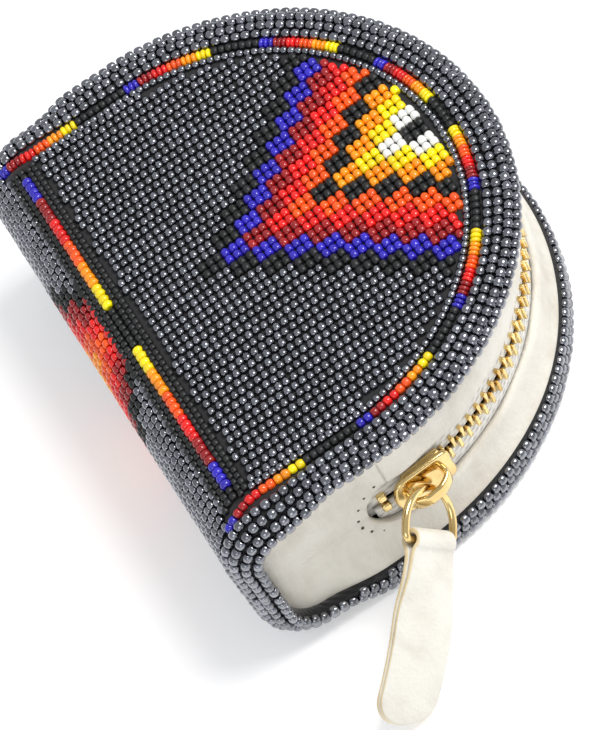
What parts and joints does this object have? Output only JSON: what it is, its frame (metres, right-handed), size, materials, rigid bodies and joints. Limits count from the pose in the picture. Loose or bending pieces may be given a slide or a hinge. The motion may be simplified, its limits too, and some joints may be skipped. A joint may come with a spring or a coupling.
{
  "type": "coin purse",
  "caption": "Half-moon beaded coin purse with a leather gusset, a zip round its curved edge and a leather pull tab on a wire ring.",
  "frame": {"origin": "on the flat back face, at the centre of the round end", "axes": "+X along the spine towards the end where the zip is closed, +Y from the spine to the round end, +Z from the back face to the front face"},
  "size_m": [0.143, 0.0887, 0.042],
  "materials": {
    "gunmetal_beads": "metallic gunmetal seed beads, glossy",
    "accent_beads": "opaque coloured seed beads, glossy",
    "stiffener": "matte",
    "lining": "plain woven cloth, matte",
    "gusset_leather": "white leather, fine grain, soft sheen",
    "zip_tape": "herringbone cotton tape",
    "zip_metal": "gold plated, polished",
    "pull_metal": "gold plated wire, polished",
    "tab_leather": "white leather with a raw cream edge"
  },
  "bodies": {
    "back_half": {"back_rim_beading": "gunmetal_beads", "back_accent_line": "accent_beads", "back_bead_panel": "gunmetal_beads", "back_spine_line": "accent_beads", "back_spine_beadwork": "gunmetal_beads", "back_stiffener": "stiffener", "back_lining": "lining", "back_gusset": "gusset_leather", "back_zip_tape": "zip_tape", "back_zip_teeth": "zip_metal", "back_top_stop": "zip_metal", "front_top_stop": "zip_metal", "bottom_stop": "zip_metal"},
    "front_half": {"front_rim_beading": "gunmetal_beads", "front_accent_line": "accent_beads", "front_bead_panel": "gunmetal_beads", "front_spine_line": "accent_beads", "front_spine_beadwork": "gunmetal_beads", "front_stiffener": "stiffener", "front_lining": "lining", "front_gusset": "gusset_leather", "front_zip_tape": "zip_tape", "front_zip_teeth": "zip_metal"},
    "slider": {"zip_slider": "zip_metal"},
    "ring": {"pull_ring": "pull_metal"},
    "tab": {"pull_tab": "tab_leather"}
  },
  "joints": [
    {"name": "slider_travel", "type": "hinge", "parent": "back_half", "child": "slider", "pos_m": [0, 0, 0.021], "axis": [0, 0, 1], "range_deg": [0, 165], "deforming": ["back_zip_teeth"]},
    {"name": "mouth_open", "type": "hinge", "parent": "back_half", "child": "front_half", "pos_m": [0, -0.033, 0.021], "axis": [1, 0, 0], "range_deg": [0, 16], "deforming": ["front_zip_teeth"]},
    {"name": "ring_swing", "type": "hinge", "parent": "slider", "child": "ring", "pos_m": [0.054, 0.00614, 0.021], "axis": [-0.0565, 0.4968, -0.866], "range_deg": [-89, 31]},
    {"name": "tab_swing", "type": "hinge", "parent": "ring", "child": "tab", "pos_m": [0.06104, 0.00056, 0.01734], "axis": [-0.0565, 0.4968, -0.866], "range_deg": [-45, 5]}
  ],
  "couplings": [
    {"joint": "mouth_open", "follows": "slider_travel", "ratio": 0.09696}
  ]
}
